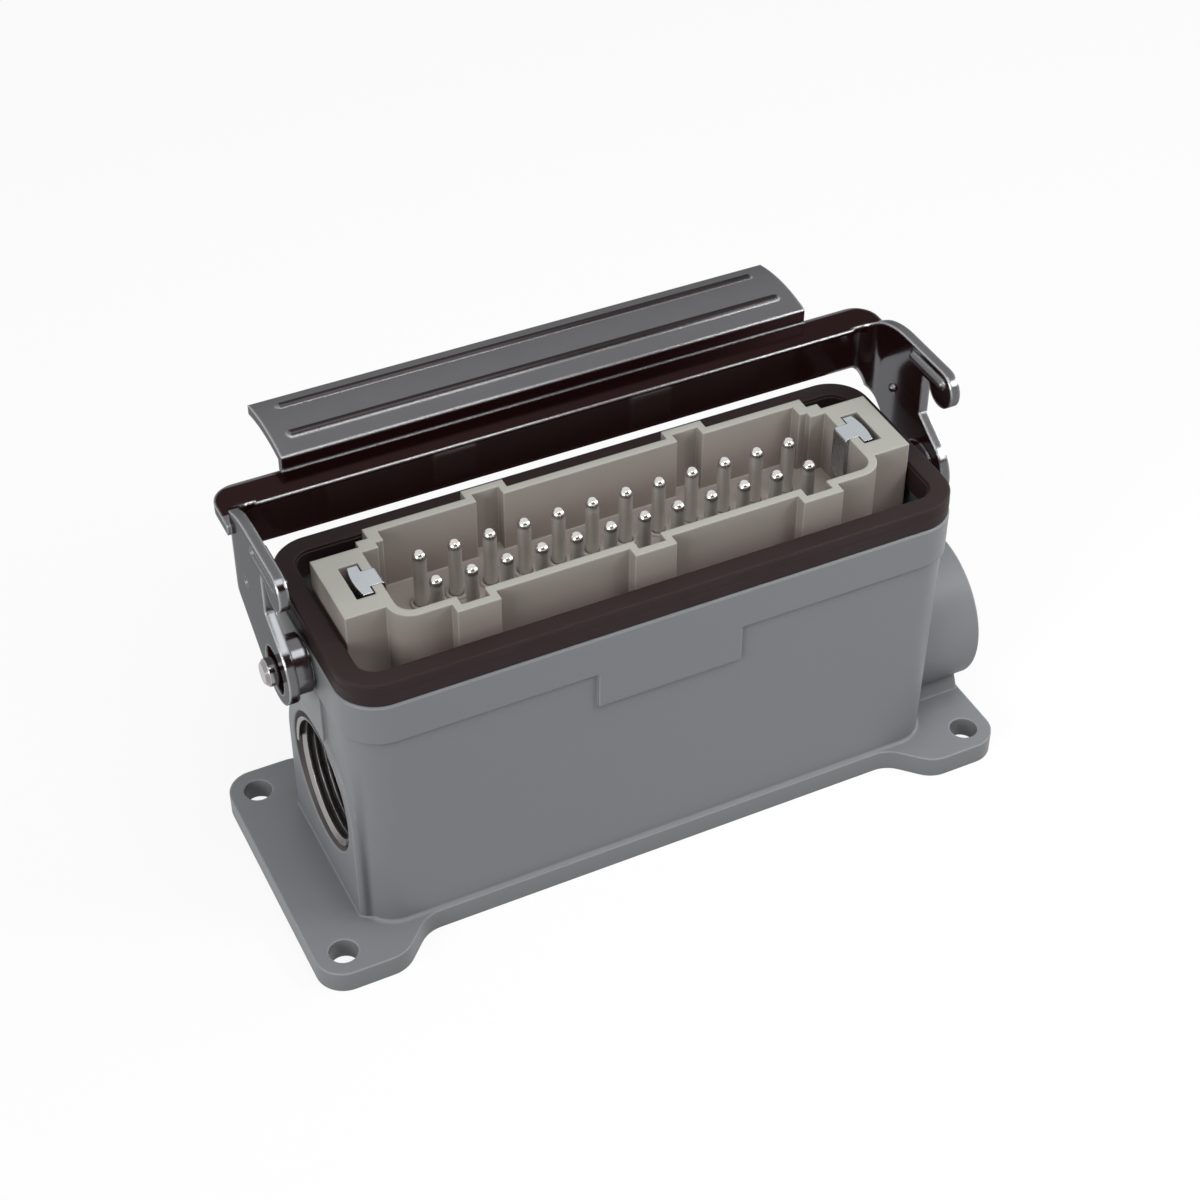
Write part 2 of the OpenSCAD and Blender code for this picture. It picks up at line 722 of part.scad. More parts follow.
// Plan of one arm of the lever with the bend that joins it to the web
module arm_plan() {
    front = -hook_reach - lobe_r;
    bend_out = bend_r + sheet_t;
    bend = [arm_out - bend_out, web_back - bend_out];
    translate([arm_in, front]) square([sheet_t, bend[1] - front]);
    translate(bend) intersection() {
        difference() {
            circle(bend_out);
            circle(bend_r);
        }
        square(bend_out);
    }
}

// Side view of an arm: round lower end, open slot, hook and the fall to the shelf
module arm_profile() {
    translate(lobe) circle(lobe_r);
    polygon([
        touch(lobe, lobe_r, slot_corner, 1), slot_corner, [slot_back, hook_top], [crest_y, hook_top],
        [crest_y, shelf_z], [web_back, shelf_z], [web_back, web_z], [web_y, web_z], arm_corner,
        touch(lobe, lobe_r, arm_corner, -1)]);
    intersection() {
        translate([crest_y, hook_top - crest_r]) circle(crest_r);
        translate([slot_back, slot_top]) square([web_back - slot_back, hook_top - slot_top]);
    }
    translate([nose[0], slot_top]) square([crest_y - nose[0], hook_top - slot_top]);
    translate(nose) circle(nose_r);
}

// Rib pressed into the hook, along Y in the plane x
module hook_rib(x) {
    z = (slot_top + hook_top) / 2;
    front = nose[0] - 0.5;
    back = slot_back + 3.5;
    translate([x, front, z]) rotate([-90, 0, 0]) cylinder(h = back - front, r = bead_r);
    for (y = [front, back]) translate([x, y, z]) sphere(bead_r);
}

// Area under the handle's skin, from the riser to the back edge
module under_handle(inset) {
    intersection() {
        translate(crown) circle(crown_r - inset);
        translate([riser_y + inset, shelf_z - sheet_t])
            square([handle_back - riser_y - inset, crown_r]);
    }
}

// Bead with round ends pressed up from the handle's crown
module crown_bead(y, half) {
    z = crown[1] + sqrt(crown_r * crown_r - pow(y - crown[0], 2)) - bead_r / 3;
    rod_x(bead_r, -half, half, y, z);
    for (x = [-1, 1]) translate([x * half, y, z]) sphere(bead_r);
}

// Plan of the shelf, whose round ends run a little way forward along the arms
module shelf_plan() {
    half = arm_out + shelf_over;
    corner = 4.7;
    lug = 4;
    translate([corner - half, web_y]) square([2 * (half - corner), shelf_w]);
    for (x = [0, 1]) mirror([x, 0]) {
        intersection() {
            translate([half - corner, shelf_back - corner]) circle(corner);
            translate([half - corner - 1, shelf_back - corner - eps]) square(2 * corner);
        }
        translate([arm_in, web_y - lug]) square([half - arm_in, shelf_w - corner + lug]);
        translate([half - corner - 1, web_y]) square([corner + 1, shelf_w - corner]);
    }
}

// Shelf between the arms and the handle behind it
module lever_top() {
    translate([0, 0, shelf_z - sheet_t]) linear_extrude(sheet_t) shelf_plan();
    along_x(-handle_x, handle_x) difference() {
        under_handle(0);
        under_handle(sheet_t);
    }
    crown_bead(handle_back - 3.8, handle_x - 4.9);
    crown_bead(riser_y + 4.9, handle_x - 3.8);
}

// Locking lever folded from one sheet, hung on the two pivot pins
module locking_lever() {
    low = lobe[1] - lobe_r - 1;
    bend_x = arm_out - bend_r - sheet_t;
    web_half = bend_x + 0.5;
    color(chrome) difference() {
        union() {
            intersection() {
                translate([0, 0, low]) linear_extrude(hook_top - low + 1)
                    for (x = [0, 1]) mirror([x, 0]) arm_plan();
                along_x(-arm_out - 1, arm_out + 1) arm_profile();
            }
            translate([-web_half, web_y, web_z]) cube([2 * web_half, sheet_t, shelf_z - web_z]);
            lever_top();
            for (x = [0, 1]) mirror([x, 0, 0]) {
                rod_x(dish_r + sheet_t / 2, dish_in, arm_in + eps, 0, pivot_z);
                hook_rib(arm_in);
                translate([arm_in, dimple_back, pivot_z + dimple_rise]) sphere(bead_r);
            }
        }
        for (x = [0, 1]) mirror([x, 0, 0]) {
            rod_x(dish_r, dish_in + sheet_t, arm_out + eps, 0, pivot_z);
            rod_x(pivot_d / 2 + fit, dish_in - eps, arm_out, 0, pivot_z);
            hook_rib(arm_out);
            translate([arm_out, dimple_back, pivot_z + dimple_rise]) sphere(bead_r);
        }
    }
}

housing_base();
rim_seal();
contact_carrier();
for (i = [1:2 * row_count])
    contact_pin(i);
terminal_screws();
fixing_screws();
earth_clip_left();
earth_clip_right();
earth_screws();
pivot_pin_left();
pivot_pin_right();
locking_lever();
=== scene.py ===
# %% [markdown]
# # A heavy duty connector on a white table
#
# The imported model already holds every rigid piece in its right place: the cast housing,
# the seal, the moulded insert with its contacts, and the folded lever. This lesson dresses
# that frame. It gives each piece the finish of the real one, adds the fine forms that a
# solid model leaves out, and takes the picture from the side that the photo shows.

# %% load the frame
import math

import bmesh
import bpy
from mathutils import Matrix, Vector


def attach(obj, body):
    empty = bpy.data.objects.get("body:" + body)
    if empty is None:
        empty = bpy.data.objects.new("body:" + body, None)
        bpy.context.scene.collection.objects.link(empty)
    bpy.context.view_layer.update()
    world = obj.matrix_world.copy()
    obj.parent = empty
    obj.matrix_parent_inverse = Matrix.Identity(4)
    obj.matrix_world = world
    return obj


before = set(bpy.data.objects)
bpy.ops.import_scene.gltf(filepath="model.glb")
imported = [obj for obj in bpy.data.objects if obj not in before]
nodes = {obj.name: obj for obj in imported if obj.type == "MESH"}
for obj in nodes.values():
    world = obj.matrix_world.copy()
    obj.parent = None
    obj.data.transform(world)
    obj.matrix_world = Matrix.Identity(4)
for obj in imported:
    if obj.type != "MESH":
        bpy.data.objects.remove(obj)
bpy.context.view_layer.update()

MM = 0.001

# %% [markdown]
# ## Camera
#
# The camera comes first, because it decides which details are worth the effort. It could be
# set by eye, but then each later comparison would carry that error. So its place was found
# by matching straight edges, holes and pins of the model with the photo, and it is written
# as angles, a target and a distance. A long lens from half a metre away keeps the edges
# nearly parallel.

# %% camera
AZIMUTH, ELEVATION, ROLL = map(math.radians, (-26.231, 41.161, 0.234))
TARGET = Vector((-3.605, 0, 47.204)) * MM
DISTANCE = 436.39 * MM
FOCAL_PIXELS, FRAME_PIXELS, SENSOR = 2374.04, 1200, 36
CLIP_NEAR, CLIP_FAR = 0.01, 50

back = Vector((math.sin(AZIMUTH) * math.cos(ELEVATION),
               -math.cos(AZIMUTH) * math.cos(ELEVATION), math.sin(ELEVATION)))
right = Vector((math.cos(AZIMUTH), math.sin(AZIMUTH), 0))
turn = Matrix((right, back.cross(right), back)).transposed() @ Matrix.Rotation(ROLL, 3, "Z")

lens = bpy.data.cameras.new("studio_camera")
lens.sensor_width = SENSOR
lens.lens = SENSOR * FOCAL_PIXELS / FRAME_PIXELS
lens.clip_start, lens.clip_end = CLIP_NEAR, CLIP_FAR
camera = bpy.data.objects.new("studio_camera", lens)
camera.matrix_world = Matrix.Translation(TARGET + back * DISTANCE) @ turn.to_4x4()
bpy.context.scene.collection.objects.link(camera)
bpy.context.scene.camera = camera
print("camera:", round(lens.lens, 1), "mm lens at", [round(v, 3) for v in camera.location])

# %% [markdown]
# ## Small helpers for node trees
#
# Every finish below is a tree of shader nodes. The trees could be drawn by hand in the
# shader editor, but a script gives the same tree each time. A few helpers keep the cells
# short. The first ones place a node and fill its sockets, where a value that is itself a
# socket becomes a link. The next ones start a material or a group, and the last ones mix
# colours, work out values and find the place on a piece.


# %% place nodes
def feed(tree, socket, value):
    """Links a socket to another, or sets its value."""
    if isinstance(value, bpy.types.NodeSocket):
        tree.links.new(value, socket)
    else:
        socket.default_value = value


def place(tree, kind, **settings):
    """Adds a node. Each setting names one of its properties or one of its sockets."""
    node = tree.nodes.new(kind)
    for key, value in settings.items():
        if hasattr(node, key):
            setattr(node, key, value)
        else:
            feed(tree, next(s for s in node.inputs if s.enabled and s.name == key), value)
    return node


print("helpers for nodes ready")


# %% start finishes and groups
def start_finish(name):
    """A new material with its node tree and its Principled shader."""
    material = bpy.data.materials.new(name)
    material.use_nodes = True
    return material, material.node_tree, material.node_tree.nodes["Principled BSDF"]


def start_group(name, ins, outs):
    """A shader node group with float inputs and the given outputs."""
    tree = bpy.data.node_groups.new(name, "ShaderNodeTree")
    sockets = tree.interface
    for label, value in ins.items():
        made = sockets.new_socket(label, in_out="INPUT", socket_type="NodeSocketFloat")
        made.default_value = value
    for label, kind in outs.items():
        sockets.new_socket(label, in_out="OUTPUT", socket_type="NodeSocket" + kind)
    return tree, tree.nodes.new("NodeGroupInput"), tree.nodes.new("NodeGroupOutput")


def use_group(tree, group, values):
    """Places a group in a material and sets its inputs."""
    node = tree.nodes.new("ShaderNodeGroup")
    node.node_tree = group
    for key, value in values.items():
        feed(tree, node.inputs[key], value)
    return node


print("helpers for finishes and groups ready")

# %% mix colours and work out values
MIX_FACTOR, MIX_FIRST, MIX_SECOND, MIX_RESULT = 0, 6, 7, 2


def blend_colours(tree, factor, first, second):
    """Colour socket of a mix of two colours."""
    mix = place(tree, "ShaderNodeMix", data_type="RGBA")
    feed(tree, mix.inputs[MIX_FACTOR], factor)
    feed(tree, mix.inputs[MIX_FIRST], first)
    feed(tree, mix.inputs[MIX_SECOND], second)
    return mix.outputs[MIX_RESULT]


def spread(tree, value, low, high, to_low, to_high):
    """Value socket moved from one range to another."""
    node = place(tree, "ShaderNodeMapRange", Value=value)
    limits = {"From Min": low, "From Max": high, "To Min": to_low, "To Max": to_high}
    for label, number in limits.items():
        node.inputs[label].default_value = number
    return node.outputs[0]


def work_out(tree, operation, first, second=None):
    """Value socket of a calculation with one or two values."""
    node = place(tree, "ShaderNodeMath", operation=operation)
    feed(tree, node.inputs[0], first)
    if second is not None:
        feed(tree, node.inputs[1], second)
    return node.outputs[0]


def scaled(tree, value, factor):
    """Value socket times a number or another socket."""
    return work_out(tree, "MULTIPLY", value, factor)


print("helpers for colours and values ready")


# %% places on a piece
def own_place(tree):
    """Sockets x, y and z of the place on the piece."""
    spot = tree.nodes.new("ShaderNodeTexCoord")
    return place(tree, "ShaderNodeSeparateXYZ", Vector=spot.outputs["Object"]).outputs


def layer(tree, value, low, high, soft):
    """Value socket that is 1 between two places in millimetres and fades outside them."""
    above = spread(tree, value, (low - soft) * MM, low * MM, 0.0, 1.0)
    below = spread(tree, value, high * MM, (high + soft) * MM, 1.0, 0.0)
    return scaled(tree, above, below)


print("helpers for places ready")

# %% [markdown]
# ## Shared effects
#
# Powder coat, moulded plastic, rubber and sheet steel all show a fine grain, edges that a
# tool or a coat has made a little round, and shade in their corners. The finishes use the edge
# mask for lighter edges, which are painted highlights (on the housing also a thinner coat),
# and the corner mask for darker corners, which are painted shade. These could be set up on
# each piece, but a group does it for all of them. Each effect is one node group, built once,
# which puts out masks and normals. The edge group compares the true normal with the one of
# a slightly rounded surface: where they differ there is an edge.

# %% grain group
grain, grain_in, grain_out = start_group(
    "surface_grain", {"Scale": 2000.0, "Patch Scale": 60.0},
    {"Height": "Float", "Patches": "Float"})
where = grain.nodes.new("ShaderNodeTexCoord")
fine = place(grain, "ShaderNodeTexNoise", Vector=where.outputs["Object"],
             Scale=grain_in.outputs["Scale"], Detail=3.0, Roughness=0.55)
broad = place(grain, "ShaderNodeTexNoise", Vector=where.outputs["Object"],
              Scale=grain_in.outputs["Patch Scale"], Detail=4.0, Roughness=0.6)
feed(grain, grain_out.inputs["Height"], fine.outputs["Fac"])
feed(grain, grain_out.inputs["Patches"], broad.outputs["Fac"])
print("group:", grain.name)

# %% edge group
EDGE_STARTS, EDGE_FULL = 0.995, 0.8
RAYS = 6

edges, edges_in, edges_out = start_group(
    "soft_edges", {"Radius": 0.0005}, {"Normal": "Vector", "Edge": "Float"})
rounded = place(edges, "ShaderNodeBevel", samples=RAYS, Radius=edges_in.outputs["Radius"])
flat = edges.nodes.new("ShaderNodeNewGeometry")
along = place(edges, "ShaderNodeVectorMath", operation="DOT_PRODUCT")
feed(edges, along.inputs[0], rounded.outputs[0])
feed(edges, along.inputs[1], flat.outputs["Normal"])
feed(edges, edges_out.inputs["Normal"], rounded.outputs[0])
feed(edges, edges_out.inputs["Edge"],
     spread(edges, along.outputs["Value"], EDGE_STARTS, EDGE_FULL, 0.0, 1.0))
print("group:", edges.name)

# %% corner shade group
# The shade mask of this group is used for painted shade in corners.
OPEN_FULL_SHADE, OPEN_NO_SHADE = 0.25, 1.0

corners, corners_in, corners_out = start_group(
    "corner_shade", {"Reach": 0.004}, {"Shade": "Float"})
hollow = place(corners, "ShaderNodeAmbientOcclusion", samples=RAYS,
               Distance=corners_in.outputs["Reach"])
feed(corners, corners_out.inputs["Shade"],
     spread(corners, hollow.outputs["AO"], OPEN_FULL_SHADE, OPEN_NO_SHADE, 1.0, 0.0))
print("group:", corners.name)

# %% [markdown]
# ## Grey powder coat
#
# The housing is die cast aluminium under a grey coat. The coat flows out before it sets, so
# it has a soft orange peel with a satin gloss. Its edges are painted lighter, partly because
# the coat is thinner there and partly as a painted highlight, and its corners are painted
# darker as painted shade. Two noise scales carry the peel and the tone: a fine one for the
# bump, a broad one for the slow change of tone over a wall. Under the step of the band and in
# the grooves beside the boss of the left entry the coat is painted darker as painted shade.
# The entries are cut after coating, and their bores are painted dark brown as painted shade
# between the ridges of the thread. Masks by the place on the piece do all of this without a
# picture to unwrap.

# %% powder coat values
# The step, groove, bore and corner tones are painted shade. The edge tone is partly a thinner coat
# and partly a painted highlight.
COAT_DARK, COAT_LIGHT = (0.184, 0.192, 0.202, 1), (0.200, 0.209, 0.220, 1)
WORN_AND_LIT_EDGE, CORNER_SHADE_TONE = (0.40, 0.41, 0.42, 1), (0.105, 0.107, 0.112, 1)
STEP_SHADE, GROOVE_SHADE = (0.090, 0.093, 0.100, 1), (0.060, 0.062, 0.066, 1)
BORE_SHADE = (0.030, 0.024, 0.022, 1)
BAND_STEP, TAB = (50.3, 50.85), (-14.6, 14.6)
GROOVE_X, GROOVE_Y = (-59.0, -58.6), (16.2, 18.2)
GROOVE_FOOT, GROOVE_FADE, GROOVE_STRENGTH = (4.55, 4.7), (16.0, 44.0), 0.8
LEFT_AXIS, RIGHT_AXIS = 25.0, 19.0
CUT_BORES = (((-60.2, -52.4), LEFT_AXIS), ((56.7, 72.1), RIGHT_AXIS))
CUT_RADIUS, CUT_SOFT = 13.4, 0.12
WORN_AND_LIT_SHARE, CORNER_SHADE_SHARE = 0.8, 0.5
COAT_ROUGH, NOISE_RANGE = (0.42, 0.54), (0.3, 0.7)
print("coat: band step at", BAND_STEP, "mm, bores bare to a radius of", CUT_RADIUS, "mm")


# %% places on the housing
def under_band(tree, spots):
    """Value socket that is 1 in the shade under the step of the band, beside the tab."""
    beside = spread(tree, layer(tree, spots["X"], *TAB, soft=0.1), 0.0, 1.0, 1.0, 0.0)
    return scaled(tree, layer(tree, spots["Z"], *BAND_STEP, soft=0.2), beside)


def in_boss_groove(tree, spots):
    """Value socket of painted shade in the grooves beside the left boss, fading to the top."""
    side = work_out(tree, "ABSOLUTE", spots["Y"])
    groove = scaled(tree, layer(tree, spots["X"], *GROOVE_X, soft=0.7),
                    layer(tree, side, *GROOVE_Y, soft=0.4))
    foot, fade = ((low * MM, high * MM) for low, high in (GROOVE_FOOT, GROOVE_FADE))
    groove = scaled(tree, groove, spread(tree, spots["Z"], *foot, 0.0, 1.0))
    return scaled(tree, groove, spread(tree, spots["Z"], *fade, GROOVE_STRENGTH, 0.0))


def in_bore(tree, spots, reach, height):
    """Value socket that is 1 inside a bore along X with its axis at a height."""
    drop = work_out(tree, "SUBTRACT", spots["Z"], height * MM)
    across = place(tree, "ShaderNodeCombineXYZ", Y=spots["Y"], Z=drop)
    radius = place(tree, "ShaderNodeVectorMath", operation="LENGTH", Vector=across.outputs[0])
    within = layer(tree, radius.outputs["Value"], 0.0, CUT_RADIUS, CUT_SOFT)
    return scaled(tree, layer(tree, spots["X"], *reach, soft=0.1), within)


print("masks of the housing ready")


# %% powder coat
def add_bump(tree, skin, height, rim, strength, distance):
    """Feeds a shader's normal with a fine relief on softly rounded edges."""
    bump = place(tree, "ShaderNodeBump", Strength=strength, Distance=distance,
                 Height=height, Normal=rim.outputs["Normal"])
    feed(tree, skin.inputs["Normal"], bump.outputs[0])


def cast_grey():
    """Grey coat of the housing, with painted shade and painted highlights."""
    finish, tree, skin = start_finish("cast_grey")
    peel = use_group(tree, grain, {"Scale": 1500.0, "Patch Scale": 45.0})
    rim = use_group(tree, edges, {"Radius": 0.0006})
    corner_hollows = use_group(tree, corners, {"Reach": 0.006})
    spots = own_place(tree)
    tone = blend_colours(tree, peel.outputs["Patches"], COAT_DARK, COAT_LIGHT)
    # Painted shade under the band's step and in the grooves beside the boss.
    tone = blend_colours(tree, under_band(tree, spots), tone, STEP_SHADE)
    tone = blend_colours(tree, in_boss_groove(tree, spots), tone, GROOVE_SHADE)
    # Lighter edges: partly a thinner coat, partly a painted highlight.
    worn_and_lit = scaled(tree, rim.outputs["Edge"], WORN_AND_LIT_SHARE)
    tone = blend_colours(tree, worn_and_lit, tone, WORN_AND_LIT_EDGE)
    # Painted shade in the corners.
    corner_shading = scaled(tree, corner_hollows.outputs["Shade"], CORNER_SHADE_SHARE)
    tone = blend_colours(tree, corner_shading, tone, CORNER_SHADE_TONE)
    # Painted shade in the bores, between the ridges of the thread.
    for reach, height in CUT_BORES:
        tone = blend_colours(tree, in_bore(tree, spots, reach, height), tone, BORE_SHADE)
    feed(tree, skin.inputs["Base Color"], tone)
    feed(tree, skin.inputs["Roughness"],
         spread(tree, peel.outputs["Patches"], *NOISE_RANGE, *COAT_ROUGH))
    add_bump(tree, skin, peel.outputs["Height"], rim, strength=0.12, distance=0.0001)
    skin.inputs["Specular IOR Level"].default_value = 0.4
    return finish


housing_finish = cast_grey()
print("finish:", housing_finish.name)

# %% [markdown]
# ## Rubber seal
#
# The seal is a black rubber with a hint of brown. It is matt, so its shape shows only by a
# weak sheen on its round edge, and mould dust gives it faint lighter patches. A lighter tone on
# its edges is a painted highlight for that sheen, and a low specular level with a warm tint adds
# the rest; the shader's sheen could do that too, but this is simpler.

# %% rubber
# The edge tone is a painted highlight.
SEAL_DARK, SEAL_DUSTY = (0.0145, 0.0085, 0.0086, 1), (0.0200, 0.0122, 0.0125, 1)
SEAL_EDGE_HIGHLIGHT, WARM_SHEEN = (0.034, 0.024, 0.024, 1), (1.0, 0.82, 0.82, 1)
SEAL_ROUGH = (0.52, 0.68)


def seal_rubber():
    """Dark rubber of the rim seal."""
    finish, tree, skin = start_finish("seal_rubber")
    mottle = use_group(tree, grain, {"Scale": 2600.0, "Patch Scale": 120.0})
    rim = use_group(tree, edges, {"Radius": 0.0004})
    tone = blend_colours(tree, mottle.outputs["Patches"], SEAL_DARK, SEAL_DUSTY)
    # The edges take a painted highlight.
    feed(tree, skin.inputs["Base Color"],
         blend_colours(tree, rim.outputs["Edge"], tone, SEAL_EDGE_HIGHLIGHT))
    feed(tree, skin.inputs["Roughness"],
         spread(tree, mottle.outputs["Patches"], *NOISE_RANGE, *SEAL_ROUGH))
    add_bump(tree, skin, mottle.outputs["Height"], rim, strength=0.15, distance=0.00008)
    skin.inputs["Specular IOR Level"].default_value = 0.24
    skin.inputs["Specular Tint"].default_value = WARM_SHEEN
    return finish


seal_finish = seal_rubber()
print("finish:", seal_finish.name)

# %% [markdown]
# ## Moulded insert
#
# The insert is a filled plastic in a warm light grey. Its top faces look pale and its edges are
# painted paler still as a painted highlight. Its walls are painted browner as painted shade, and
# they are painted darker and browner towards the bottom of the collar, as painted shade where
# little light gets there and as a painted reflection of the brown seal. One even colour would
# leave all of that to the lamps. Here the direction of a face and its height choose the tone,
# the corner group adds painted shade, and a fine spark eroded grain breaks up the gloss.

# %% plastic
# The wall, low and deep tones are painted shade, the low one also a painted reflection of the
# brown seal; the edge tone is a painted highlight.
INSERT_DARK, INSERT_LIGHT = (0.368, 0.364, 0.328, 1), (0.398, 0.394, 0.358, 1)
WALL_SHADE_BROWN, LOW_SHADE_BROWN = (0.255, 0.213, 0.193, 1), (0.285, 0.225, 0.205, 1)
INSERT_EDGE_HIGHLIGHT, DEEP_SHADE_BROWN = (0.47, 0.475, 0.435, 1), (0.165, 0.13, 0.115, 1)
WALL_TILT, TOP_TILT = 0.3, 0.8
COLLAR_TOP, COLLAR_LOW = 68.9, 60.0
WALL_SHADE_SHARE, LOW_SHADE_SHARE, DEEP_SHADE_SHARE = 0.5, 0.6, 0.4
INSERT_ROUGH = (0.46, 0.6)


def moulded_grey():
    """Warm grey plastic of the contact carrier, with painted shade, highlight and reflection."""
    finish, tree, skin = start_finish("moulded_grey")
    spark = use_group(tree, grain, {"Scale": 2200.0, "Patch Scale": 90.0})
    rim = use_group(tree, edges, {"Radius": 0.0005})
    shade = use_group(tree, corners, {"Reach": 0.009})
    tone = blend_colours(tree, spark.outputs["Patches"], INSERT_DARK, INSERT_LIGHT)
    face = tree.nodes.new("ShaderNodeNewGeometry")
    facing = place(tree, "ShaderNodeSeparateXYZ", Vector=face.outputs["True Normal"])
    # Painted shade: walls browner than tops.
    walls = spread(tree, facing.outputs["Z"], WALL_TILT, TOP_TILT, WALL_SHADE_SHARE, 0.0)
    tone = blend_colours(tree, walls, tone, WALL_SHADE_BROWN)
    height = own_place(tree)["Z"]
    # Painted shade and a painted reflection of the seal towards the bottom of the collar.
    low = spread(tree, height, COLLAR_TOP * MM, COLLAR_LOW * MM, 0.0, LOW_SHADE_SHARE)
    tone = blend_colours(tree, low, tone, LOW_SHADE_BROWN)
    # Painted highlight on the edges.
    tone = blend_colours(tree, rim.outputs["Edge"], tone, INSERT_EDGE_HIGHLIGHT)
    # Painted shade in the corners.
    deep_shade = scaled(tree, shade.outputs["Shade"], DEEP_SHADE_SHARE)
    tone = blend_colours(tree, deep_shade, tone, DEEP_SHADE_BROWN)
    feed(tree, skin.inputs["Base Color"], tone)
    feed(tree, skin.inputs["Roughness"],
         spread(tree, spark.outputs["Patches"], *NOISE_RANGE, *INSERT_ROUGH))
    add_bump(tree, skin, spark.outputs["Height"], rim, strength=0.1, distance=0.00006)
    return finish


carrier_finish = moulded_grey()
print("finish:", carrier_finish.name)

# %% [markdown]
# ## Plated and polished metal
#
# Contacts, clips, screws, pins and the lever are all metal, and differ in colour, in gloss
# and in the marks of how they were made. A turned contact has rings round its axis, a rolled
# sheet has streaks along its length. Each could have its own tree, but one function takes
# those as values: the scale of the streaks along each axis makes rings or lines out of the
# same noise. Their outer edges are painted lighter as a painted highlight. The lever's shelf is
# painted dark brown, as painted shade of its handle and a painted reflection of the brown seal,
# dark lines of painted shade run along the beads of the handle, the lever glows faintly brown
# as painted reflected light in its shade, and the shafts of the contacts are duller than their
# tips, so those places have their own tone or gloss.

# %% tone of a metal
# The edge tone is a painted highlight; the line tone is painted shade.
PAINTED_EDGE_HIGHLIGHT, LINE_SHADE = (0.7, 0.7, 0.7, 1), (0.020, 0.017, 0.017, 1)
FOLD_REACH, FOLD_RANGE = 0.0025, (0.25, 0.6)
LINE_SHARE = 0.9


def outer_edges(tree, rim):
    """Value socket that is 1 on outer edges and 0 along the inner side of a fold."""
    fold = use_group(tree, corners, {"Reach": FOLD_REACH})
    outside = spread(tree, fold.outputs["Shade"], *FOLD_RANGE, 1.0, 0.0)
    return scaled(tree, rim.outputs["Edge"], outside)


def metal_tone(tree, spots, outer, pale, dull, edge_highlight, zone, dark_lines):
    """Colour socket: patches, painted shade in a zone and lines, painted highlight on edges."""
    patches = use_group(tree, grain, {"Scale": 3000.0, "Patch Scale": 140.0})
    tone = blend_colours(tree, patches.outputs["Patches"], dull, pale)
    # Painted shade with a painted brown reflection in the zone.
    if zone:
        across, up, shaded = zone
        there = scaled(tree, layer(tree, spots["Y"], *across, soft=0.3),
                       layer(tree, spots["Z"], *up, soft=0.1))
        tone = blend_colours(tree, there, tone, shaded)
    # Painted highlight on outer edges.
    tone = blend_colours(tree, outer, tone, edge_highlight)
    # Dark lines of painted shade along the beads of the handle.
    for half, across in dark_lines:
        there = scaled(tree, layer(tree, spots["X"], -half, half, soft=0.3),
                       layer(tree, spots["Y"], *across, soft=0.2))
        tone = blend_colours(tree, scaled(tree, there, LINE_SHARE), tone, LINE_SHADE)
    return tone


print("tones of metal ready")

# %% metal
SATIN_FADE = 0.6
STREAK_RELIEF = 0.00005
GRAZING_DULL_TINT = (0.46, 0.47, 0.48, 1)


def bright_metal(name, pale, dull, gloss, streaks, depth, edge_radius, edge_highlight=PAINTED_EDGE_HIGHLIGHT,
                 zone=None, brown_glow=None, dark_lines=(), satin=None):
    """Metal with fine streaks, a change of tone in patches and soft edges that take a
    painted highlight.

    A zone is a range of y, a range of z and the tone of painted shade that the metal takes
    there. A brown glow is a faint emission, a painted reflection of brown light that shows in
    shade; with it the metal is also duller at grazing angles. Dark lines of painted shade run
    along x and are given by half a length and a range of y. Satin is a height below which the
    metal is rougher, and by how much."""
    finish, tree, skin = start_finish(name)
    spot = tree.nodes.new("ShaderNodeTexCoord")
    stretch = place(tree, "ShaderNodeMapping", Vector=spot.outputs["Object"], Scale=streaks)
    lines = place(tree, "ShaderNodeTexNoise", Vector=stretch.outputs[0], Scale=1.0, Detail=3.0)
    rim = use_group(tree, edges, {"Radius": edge_radius})
    spots = own_place(tree)
    feed(tree, skin.inputs["Base Color"], metal_tone(
        tree, spots, outer_edges(tree, rim), pale, dull, edge_highlight, zone, dark_lines))
    rough = spread(tree, lines.outputs["Fac"], *NOISE_RANGE, *gloss)
    if satin:
        height, more = satin
        duller = spread(tree, spots["Z"], height * MM, (height + SATIN_FADE) * MM, more, 0.0)
        rough = work_out(tree, "ADD", rough, duller)
    feed(tree, skin.inputs["Roughness"], rough)
    add_bump(tree, skin, lines.outputs["Fac"], rim, depth, STREAK_RELIEF)
    skin.inputs["Metallic"].default_value = 1.0
    # Painted glow: a faint brown emission that stands in for brown reflected light in shade.
    if brown_glow:
        skin.inputs["Specular Tint"].default_value = GRAZING_DULL_TINT
        skin.inputs["Emission Color"].default_value = brown_glow
        skin.inputs["Emission Strength"].default_value = 1.0
    print("metal:", name)
    return finish


# %% metals of the insert
SHAFT_TOP, SHAFT_DULLER = 66.6, 0.3

contact_finish = bright_metal(
    "silver_plate", pale=(0.70, 0.69, 0.66, 1), dull=(0.60, 0.59, 0.56, 1), gloss=(0.14, 0.24),
    streaks=(200, 200, 4000), depth=0.06, edge_radius=0.0001, satin=(SHAFT_TOP, SHAFT_DULLER))
screw_finish = bright_metal(
    "zinc_plate", pale=(0.62, 0.62, 0.61, 1), dull=(0.50, 0.50, 0.49, 1), gloss=(0.22, 0.38),
    streaks=(1500, 1500, 1500), depth=0.1, edge_radius=0.0002)
clip_finish = bright_metal(
    "nickel_plate", pale=(0.50, 0.53, 0.56, 1), dull=(0.42, 0.45, 0.48, 1), gloss=(0.20, 0.32),
    streaks=(300, 3000, 300), depth=0.08, edge_radius=0.0002)

